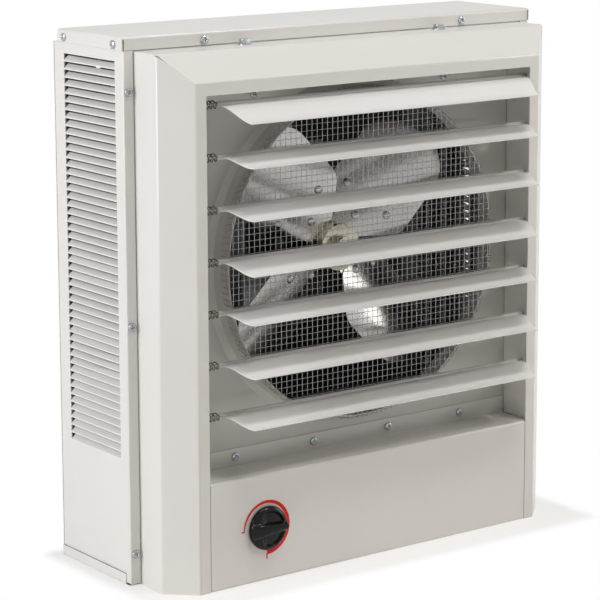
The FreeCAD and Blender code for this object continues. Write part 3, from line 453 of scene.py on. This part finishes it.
def coat_of(node, slot):
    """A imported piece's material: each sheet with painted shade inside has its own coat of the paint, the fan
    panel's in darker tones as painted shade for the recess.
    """
    if node in inside_shaded_sheets:
        tones = shaded_recess_tones if node == "fan_panel" else cabinet_tones
        return paint("paint_" + node, tones, inwards=inside_shaded_sheets[node])
    return materials[slot]


def soften(piece):
    """Takes the sharpness off the cut edges of a sheet."""
    weld = piece.modifiers.new("weld", "WELD")
    weld.merge_threshold = weld_distance
    edge = piece.modifiers.new("edge", "BEVEL")
    edge.width = sheet_edge
    edge.segments = edge_segments
    edge.limit_method = "ANGLE"
    edge.angle_limit = edge_angle
    edge.harden_normals = True


def dress_nodes():
    """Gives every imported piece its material, and softens the cut edges of the sheet metal that shows."""
    for part in frame["record"]["subparts"]:
        node = nodes[part["node"]]
        node.data.materials.clear()
        node.data.materials.append(coat_of(part["node"], part["material_slot"]))
        if part["node"].startswith(soft_sheets) and part["material_slot"] == "cabinet_paint":
            soften(node)


def linked(name, data):
    """A new object in the scene."""
    thing = bpy.data.objects.new(name, data)
    bpy.context.scene.collection.objects.link(thing)
    return thing


def finished(name, mesh_or_curve, slot, body, replaced=None, smooth=True, coat=None):
    """Links a made piece, with its material, its body and the node that it stands for."""
    piece = linked(name, mesh_or_curve)
    piece.data.materials.append(coat or materials[slot])
    if smooth and piece.type == "MESH":
        for face in piece.data.polygons:
            face.use_smooth = True
    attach(piece, body)
    if replaced:
        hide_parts(replaced)
    return piece


def mesh_from(name, form):
    """Turns a form that is done into a mesh."""
    mesh = bpy.data.meshes.new(name)
    form.to_mesh(mesh)
    form.free()
    return mesh


def islands(node):
    """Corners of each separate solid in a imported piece, as (lowest, highest), in the mesh's order."""
    form = bmesh.new()
    form.from_mesh(nodes[node].data)
    bmesh.ops.remove_doubles(form, verts=form.verts, dist=weld_distance)
    waiting = set(form.verts)
    found = []
    for start in form.verts:
        if start not in waiting:
            continue
        waiting.remove(start)
        pile = [start]
        points = []
        while pile:
            vert = pile.pop()
            points.append(vert.co.copy())
            for edge in vert.link_edges:
                other = edge.other_vert(vert)
                if other in waiting:
                    waiting.remove(other)
                    pile.append(other)
        low = Vector([min(p[i] for p in points) for i in range(3)])
        high = Vector([max(p[i] for p in points) for i in range(3)])
        found.append((low, high))
    form.free()
    return found


def seated(seat, first, second, outward):
    """A function that places a point, given along two directions and outwards from a seat."""
    def placed(x, y, height):
        return seat + first * x + second * y + outward * height

    return placed


def round_points(radius, count):
    """Points round a circle, as (x, y)."""
    angles = [2 * math.pi * n / count for n in range(count)]
    return [(radius * math.cos(angle), radius * math.sin(angle)) for angle in angles]


def band(form, inner, outer):
    """Faces between two closed rings of as many points."""
    for n in range(len(inner)):
        nxt = (n + 1) % len(inner)
        form.faces.new((inner[n], outer[n], outer[nxt], inner[nxt]))


def ribbon(form, pairs):
    """Faces along a row of pairs of points."""
    for before, pair in zip(pairs, pairs[1:]):
        form.faces.new((before[0], before[1], pair[1], pair[0]))


def polar_sheet(form, placed, rings, segments, surface):
    """A disc of rings, whose height is a function of the place on it. Gives its rim."""
    centre = form.verts.new(placed(0.0, 0.0, surface(0.0, 0.0)))
    before = None
    for radius in rings:
        row = [form.verts.new(placed(x, y, surface(x, y))) for x, y in round_points(radius, segments)]
        if before:
            band(form, before, row)
        else:
            for n in range(segments):
                form.faces.new((centre, row[n], row[(n + 1) % segments]))
        before = row
    return before


def skirt(form, placed, rim, rows):
    """Carries a rim on through more rings, each one a (radius, height)."""
    for radius, height in rows:
        row = [form.verts.new(placed(x, y, height)) for x, y in round_points(radius, len(rim))]
        band(form, rim, row)
        rim = row


def screw_surface(x, y):
    """Height of a pan head with a cross recess."""
    share = min(1.0, math.hypot(x, y) / screw_head)
    dome = screw_height * (screw_edge + (1 - screw_edge) * math.sqrt(1 - share ** screw_curve))
    level_arm = max(abs(x) / recess_arm, abs(y) / recess_width)
    upright_arm = max(abs(y) / recess_arm, abs(x) / recess_width)
    across = min(level_arm, upright_arm)
    if across < 1.0:
        dome -= recess_depth * min(1.0, recess_slope * (1.0 - across))
    return dome


def add_screw(form, seat, outward):
    """One pan-head screw with a cross recess, turned at random as a fitter leaves it."""
    turn = rng.uniform(0, math.pi / 2)
    aside = outward.cross(UP)
    first = UP * math.cos(turn) + aside * math.sin(turn)
    second = aside * math.cos(turn) - UP * math.sin(turn)
    placed = seated(seat, first, second, outward)
    rings = [screw_head * share for share in screw_rings]
    rim = polar_sheet(form, placed, rings, screw_segments, screw_surface)
    skirt(form, placed, rim, ((screw_head, 0.0),))


def outward_of(low, high):
    """Which way a cabinet screw faces, from where it sits."""
    middle = (low + high) / 2
    size = high - low
    if size.x > size.y:
        return RIGHT if middle.x > 0 else -RIGHT
    return -BACK if middle.y < 0 else BACK


def make_screws(node):
    """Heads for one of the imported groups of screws."""
    form = bmesh.new()
    for low, high in islands(node):
        outward = outward_of(low, high)
        middle = (low + high) / 2
        half = (high - low) / 2
        top = middle + outward * abs(half.dot(outward))
        add_screw(form, top - outward * screw_height, outward)
    name = node + "_heads"
    finished(name, mesh_from(name, form), "zinc_screws", "cabinet", node)


def rivet_surface(x, y):
    """Height of a domed rivet head."""
    share = min(1.0, math.hypot(x, y) / rivet_head)
    return rivet_height * math.sqrt(1 - share * share)


def make_rivets():
    """Domed rivet heads on the fan blades."""
    form = bmesh.new()
    rings = [rivet_head * share for share in rivet_rings]
    for low, high in islands("fan_rivets"):
        middle = (low + high) / 2
        arm = middle - joints["fan_spin"]
        heading = fan_start + fan_step * round((math.atan2(arm.z, arm.x) - fan_start) / fan_step)
        first = RIGHT * math.cos(heading) + UP * math.sin(heading)
        tangent = first.cross(BACK)
        lean = fan_pitch + arm.dot(tangent) / fan_camber
        outward = tangent * math.sin(lean) - BACK * math.cos(lean)
        placed = seated(middle + outward * rivet_lift, first, outward.cross(first), outward)
        rim = polar_sheet(form, placed, rings, rivet_segments, rivet_surface)
        skirt(form, placed, rim, ((rivet_head, -2 * rivet_lift),))
    finished("rivet_heads", mesh_from("rivet_heads", form), "fan_aluminium", "fan", "fan_rivets")


def make_hood_bolts():
    """Hex flange bolts: a domed washer under a chamfered hex head."""
    cover = bolt_flat / 2
    corner = bolt_flat / math.sqrt(3)
    sixth = math.pi / 3
    # Radius and height of each ring, where one without a radius is the hexagon
    rings = ((bolt_washer, 0.0), (bolt_washer, bolt_washer_edge),
             (corner + bolt_fillet, bolt_washer_height), (None, bolt_washer_height),
             (None, bolt_head_height - bolt_chamfer), (cover, bolt_head_height))
    form = bmesh.new()
    for low, high in islands("hood_bolts"):
        seat = Vector(((low.x + high.x) / 2, (low.y + high.y) / 2, high.z - bolt_head_height))
        turn = rng.uniform(0, sixth)
        before = None
        for radius, height in rings:
            row = []
            for n in range(bolt_segments):
                angle = 2 * math.pi * n / bolt_segments
                reach = radius or cover / math.cos(angle % sixth - sixth / 2)
                x = reach * math.cos(angle + turn)
                y = reach * math.sin(angle + turn)
                row.append(form.verts.new(seat + Vector((x, y, height))))
            if before:
                band(form, row, before)
            before = row
        form.faces.new(before)
    finished("bolt_heads", mesh_from("bolt_heads", form), "zinc_screws", "cabinet", "hood_bolts", False)


def fallen(along):
    """How far a blade has dropped at a distance from its rod: level, a slope with soft bends, level."""
    share = min(1.0, max(0.0, (along - blade_crease) / (blade_toe - blade_crease)))
    steepest = 1 / (1 - blade_ease)
    if share < blade_ease:
        return blade_fall * steepest * share * share / (2 * blade_ease)
    if share > 1 - blade_ease:
        return blade_fall * (1 - steepest * (1 - share) ** 2 / (2 * blade_ease))
    return blade_fall * steepest * (share - blade_ease / 2)


def make_blade(number, tilt, coat):
    """A louvre blade: a leaf with an S-shaped section and tapered ends, on a curl round its rod."""
    node = "louvre_blade_%d" % number
    low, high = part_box(node)
    rod_low, rod_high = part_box("louvre_rod_%d" % number)
    pivot = joints["louvre_%d_tilt" % number]
    curl = high.y - pivot.y
    bore = (rod_high.z - rod_low.z) / 2 + rod_gap
    turn = Matrix.Rotation(math.radians(tilt), 3, "X")
    form = bmesh.new()

    def at(x, along, height):
        return form.verts.new(Vector((x, pivot.y, pivot.z)) + turn @ Vector((0, -along, height)))

    rear = curl_lap * curl
    stride = (blade_chord - rear) / blade_steps
    rings = []
    for n in range(blade_steps + 1):
        along = rear + stride * n
        slope = (fallen(along + stride / 2) - fallen(along - stride / 2)) / stride
        square = Vector((slope, 1.0)).normalized() * blade_sheet / 2
        inset = blade_taper * max(0.0, along - curl) / (blade_chord - curl)
        ends = (low.x + inset, high.x - inset)
        ring = [at(x, along + square.x, square.y - fallen(along)) for x in ends]
        ring += [at(x, along - square.x, -square.y - fallen(along)) for x in reversed(ends)]
        rings.append(ring)
    for before, ring in zip(rings, rings[1:]):
        band(form, before, ring)
    form.faces.new(rings[0])
    form.faces.new(rings[-1])
    outer = round_points(curl, curl_segments)
    inner = round_points(bore, curl_segments)
    rows = []
    for far, near in zip(outer, inner):
        rows.append([at(low.x, *far), at(high.x, *far), at(high.x, *near), at(low.x, *near)])
    for row, nxt in zip(rows, rows[1:] + rows[:1]):
        band(form, row, nxt)
    bmesh.ops.recalc_face_normals(form, faces=form.faces)
    name = "blade_leaf_%d" % number
    body = "louvre_%d" % number
    leaf = finished(name, mesh_from(name, form), "cabinet_paint", body, node, coat=coat)
    leaf.data.set_sharp_from_angle(angle=sharp_angle)
    soften(leaf)


def make_blades():
    """All the louvre blades, in one coat of paint made lighter than the cabinet's as painted light."""
    coat = paint("blade_paint", lit_blade_tones)
    for number, tilt in enumerate(blade_tilts, 1):
        make_blade(number, tilt, coat)


def tube_curve(name, lines, radius, roundness):
    """Round wire along one or more lines of points."""
    curve = bpy.data.curves.new(name, "CURVE")
    curve.dimensions = "3D"
    curve.bevel_depth = radius
    curve.bevel_resolution = roundness
    curve.use_fill_caps = True
    for line in lines:
        spline = curve.splines.new("POLY")
        spline.points.add(len(line) - 1)
        for point, place in zip(spline.points, line):
            point.co = (*place, 1.0)
    return curve


def folded_tip(spot, heading):
    """A wire's tip, folded back with the mesh: what ran outwards runs back, what ran aside goes round."""
    radial = spot.normalized()
    outwards = heading.dot(radial)
    aside = heading.dot(Vector((-radial.y, radial.x)))
    run = min(wire_tip * rng.uniform(shortest_share, 1.0) / outwards, longest_tip)
    splay = rng.uniform(0.0, tip_splay)
    start = math.atan2(spot.y, spot.x)
    points = []
    for share in tip_shares:
        angle = start + run * share * aside / spot.length
        radius = spot.length + tip_gap + splay * share
        points.append((radius * math.cos(angle), run * share * outwards, radius * math.sin(angle)))
    return points


def make_guard():
    """Woven wire guard: each wire goes over and under its neighbours, its tips folded round the collar."""
    low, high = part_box("mesh_guard")
    plane = low.y + 2 * wire_radius
    middle = (low.z + high.z) / 2
    count = int(2 * collar_radius / wire_pitch)
    offsets = [wire_pitch * (n - (count - 1) / 2) for n in range(count)]
    reach = collar_radius + guard_stand_off
    lines = []
    for upright in (True, False):
        ahead = Vector((0, 1)) if upright else Vector((1, 0))
        aside = Vector((1, 0)) if upright else Vector((0, 1))
        for n, offset in enumerate(offsets):
            half = math.sqrt(reach * reach - offset * offset)
            points = folded_tip(aside * offset - ahead * half, -ahead)[::-1]
            for m, station in enumerate(offsets):
                if abs(station) < half - wire_radius:
                    spot = aside * offset + ahead * station
                    weave = wire_weave if (m + n) % 2 == upright else -wire_weave
                    points.append((spot.x, weave, spot.y))
            points += folded_tip(aside * offset + ahead * half, ahead)
            lines.append([(x, plane + y, middle + z) for x, y, z in points])
    wires = tube_curve("guard_mesh", lines, wire_radius, wire_roundness)
    finished("guard_mesh", wires, "guard_wire", "cabinet", "mesh_guard")


def eased(share):
    """A soft step from 0 to 1, which stays at 1 from there on."""
    return 0.5 - 0.5 * math.cos(math.pi * min(1.0, share))


def make_springs():
    """Compression springs at the left ends of the rods, with closed end turns."""
    lines = []
    steps = spring_segments * spring_turns
    for low, high in islands("louvre_springs"):
        axis = (low + high) / 2
        start = low.x + spring_wire
        length = high.x - low.x - 2 * spring_wire
        line = []
        for n in range(steps + 1):
            share = n / steps
            angle = 2 * math.pi * spring_turns * share
            pinch = eased(share / spring_close) - eased((1 - share) / spring_close)
            along = share + spring_pinch * pinch
            x = start + length * min(1.0, max(0.0, along))
            y = axis.y + spring_radius * math.cos(angle)
            z = axis.z + spring_radius * math.sin(angle)
            line.append((x, y, z))
        lines.append(line)
    coils = tube_curve("spring_coils", lines, spring_wire, spring_roundness)
    finished("spring_coils", coils, "spring_steel", "cabinet", "louvre_springs")


def make_fins(side):
    """Spiral fins on the legs of the heating elements of one side."""
    node = "element_fins_" + side
    form = bmesh.new()
    for low, high in islands(node):
        middle = (low + high) / 2
        steps = fin_segments * int((high.z - low.z) / fin_pitch)
        pairs = []
        for n in range(steps + 1):
            angle = 2 * math.pi * n / fin_segments
            core = Vector((middle.x, middle.y, low.z + (high.z - low.z) * n / steps))
            away = RIGHT * math.cos(angle) + BACK * math.sin(angle)
            pairs.append([form.verts.new(core + away * radius) for radius in (fin_core, fin_radius)])
        ribbon(form, pairs)
    name = "fin_spirals_" + side
    finished(name, mesh_from(name, form), "element_steel", "cabinet", node)


def rise(value, width):
    """A smooth step from 0 to 1."""
    return 0.5 + 0.5 * math.tanh(value / (2 * width))


def knob_surface(x, y):
    """The knob's face: a domed body with a pocket on each side of a blunt bar grip that points to +x."""
    share = math.hypot(x, y) / knob_radius
    along = x / knob_radius
    body = knob_edge + knob_dome * math.sqrt(max(0.0, 1 - share ** knob_curve))
    pocket = rise(pocket_radius - share, pocket_edge) * rise(along - pocket_start, pocket_fade)
    body -= pocket_depth * pocket
    half = grip_half - grip_taper * along
    grip = rise(half - abs(y), grip_side) * rise(grip_reach - x, grip_end)
    crest = grip_height - grip_droop * max(0.0, along) ** 2 - tail_droop * max(0.0, -along) ** 3
    crest -= grip_crown * min(1.0, (y / half) ** 2)
    return body + max(0.0, crest - body) * grip


def make_knob():
    """Glossy dial knob with a moulded bar grip."""
    centre = joints["dial_turn"]
    seat = Vector((centre.x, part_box("thermostat_knob")[1].y, centre.z))
    placed = seated(seat, RIGHT, UP, -BACK)
    rings = [knob_radius * n / knob_rings for n in range(1, knob_rings)] + [knob_radius * knob_rim]
    form = bmesh.new()
    rim = polar_sheet(form, placed, rings, knob_segments, knob_surface)
    skirt(form, placed, rim, ((knob_radius, knob_shoulder), (knob_radius, knob_foot),
                              (knob_radius - knob_foot_inset, 0.0), (knob_radius - knob_wall, 0.0)))
    finished("dial_knob", mesh_from("dial_knob", form), "knob_plastic", "dial", "thermostat_knob")


def make_dial_scale():
    """Printed red arc that widens from the low end to the high end, with a tick at each end."""
    centre = joints["dial_turn"]
    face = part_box("control_cover")[0].y - dial_lift
    form = bmesh.new()

    def at(x, z):
        return form.verts.new((centre.x + x, face, centre.z + z))

    pairs = []
    for n in range(dial_steps + 1):
        share = n / dial_steps
        angle = math.pi - dial_sweep * share
        inner = dial_outer - dial_thin - (dial_thick - dial_thin) * math.sqrt(share)
        ends = (inner, dial_outer)
        pairs.append([at(radius * math.cos(angle), radius * math.sin(angle)) for radius in ends])
    ribbon(form, pairs)
    ticks = (((-dial_outer - low_tick, -tick_half), (-dial_outer + dial_thin, tick_half)),
             ((-tick_half, -dial_outer - high_tick), (tick_half, -dial_outer + dial_thin)))
    for (x_low, z_low), (x_high, z_high) in ticks:
        corners = ((x_low, z_low), (x_high, z_low), (x_high, z_high), (x_low, z_high))
        form.faces.new([at(x, z) for x, z in corners])
    bmesh.ops.recalc_face_normals(form, faces=form.faces)
    mesh = mesh_from("dial_scale", form)
    finished("dial_scale", mesh, "cabinet_paint", "cabinet", smooth=False, coat=red_ink())


def area_light(name, place, target, size, power, colour):
    """A rectangular lamp that faces a point."""
    lamp = bpy.data.lights.new(name, "AREA")
    lamp.shape = "RECTANGLE"
    lamp.size, lamp.size_y = size
    lamp.energy = power
    lamp.color = colour
    light = linked(name, lamp)
    light.location = place
    light.rotation_euler = (Vector(target) - Vector(place)).to_track_quat("-Z", "Y").to_euler()


def seen_rays(tree):
    """1 for a ray from the camera, a reflection or a glass, which sees plain white, and 0 for light."""
    rays = tree.nodes.new("ShaderNodeLightPath")
    total = rays.outputs["Is Camera Ray"]
    for kind in ("Is Glossy Ray", "Is Transmission Ray"):
        total = calculated(tree, "MAXIMUM", total, rays.outputs[kind])
    return total


def mix_shaders(tree, share, first, second, output):
    """Ends a tree with a mix of two shaders."""
    mixed = tree.nodes.new("ShaderNodeMixShader")
    tree.links.new(share, mixed.inputs["Fac"])
    tree.links.new(first, mixed.inputs[1])
    tree.links.new(second, mixed.inputs[2])
    tree.links.new(mixed.outputs["Shader"], tree.nodes[output].inputs["Surface"])


def make_floor():
    """Pale floor that keeps the shadow near the object and turns to plain white further out."""
    form = bmesh.new()
    height = cad_low.z - floor_gap
    corners = ((-1, -1), (1, -1), (1, 1), (-1, 1))
    form.faces.new([form.verts.new((x * floor_half, y * floor_half, height)) for x, y in corners])
    floor = linked("floor", mesh_from("floor", form))
    material, tree, shader, place = new_material("floor")
    floor.data.materials.append(material)
    shader.inputs["Base Color"].default_value = (*floor_colour, 1)
    shader.inputs["Roughness"].default_value = floor_rough
    white = tree.nodes.new("ShaderNodeEmission")
    white.inputs["Strength"].default_value = 1.0
    middle = (cad_low + cad_high) / 2
    half = (cad_high - cad_low) / 2
    away = place
    for operation, values in (("SUBTRACT", (middle.x, middle.y, 0)), ("ABSOLUTE", None),
                              ("SUBTRACT", (half.x, half.y, 0)), ("MAXIMUM", (0, 0, 0)),
                              ("MULTIPLY", (1, 1, 0))):
        away = vector_step(tree, operation, away, values)["Vector"]
    fade = tree.nodes.new("ShaderNodeMapRange")
    fade.interpolation_type = "SMOOTHSTEP"
    fade.inputs["From Min"].default_value = 0.0
    fade.inputs["From Max"].default_value = shadow_reach
    fade.inputs["To Min"].default_value = shadow_lift
    tree.links.new(vector_step(tree, "LENGTH", away)["Value"], fade.inputs["Value"])
    share = calculated(tree, "MULTIPLY", fade.outputs["Result"], seen_rays(tree))
    mix_shaders(tree, share, shader.outputs["BSDF"], white.outputs["Emission"], "Material Output")


def make_world():
    """Even studio light, seen as plain white behind the object."""
    world = bpy.data.worlds.new("studio")
    bpy.context.scene.world = world
    world.use_nodes = True
    tree = world.node_tree
    light = tree.nodes["Background"]
    light.inputs["Color"].default_value = (*world_colour, 1)
    light.inputs["Strength"].default_value = world_light
    white = tree.nodes.new("ShaderNodeBackground")
    white.inputs["Strength"].default_value = 1.0
    share = seen_rays(tree)
    mix_shaders(tree, share, light.outputs["Background"], white.outputs["Background"], "World Output")


def make_camera():
    """The photograph's camera: it looks along its yaw and pitch, with a slight roll."""
    level = math.cos(camera_pitch)
    forward = Vector((math.sin(camera_yaw) * level, math.cos(camera_yaw) * level, -math.sin(camera_pitch)))
    data = bpy.data.cameras.new("camera")
    data.sensor_width = sensor
    data.lens = focal_pixels * sensor / image_size
    data.shift_y = camera_shift
    camera = linked("camera", data)
    camera.location = camera_place
    turn = forward.to_track_quat("-Z", "Y").to_matrix().to_4x4()
    camera.rotation_euler = (turn @ Matrix.Rotation(-camera_roll, 4, "Z")).to_euler()
    bpy.context.scene.camera = camera


dress_nodes()
for group in ("strip_screws", "lid_screws", "recess_screws", "rear_screws"):
    make_screws(group)
make_rivets()
make_hood_bolts()
make_blades()
make_guard()
make_springs()
for side in ("left", "right"):
    make_fins(side)
make_knob()
make_dial_scale()
make_floor()
make_world()
make_camera()
for name, setting in lamps.items():
    area_light(name, *setting)
bpy.context.scene.view_settings.view_transform = "Standard"
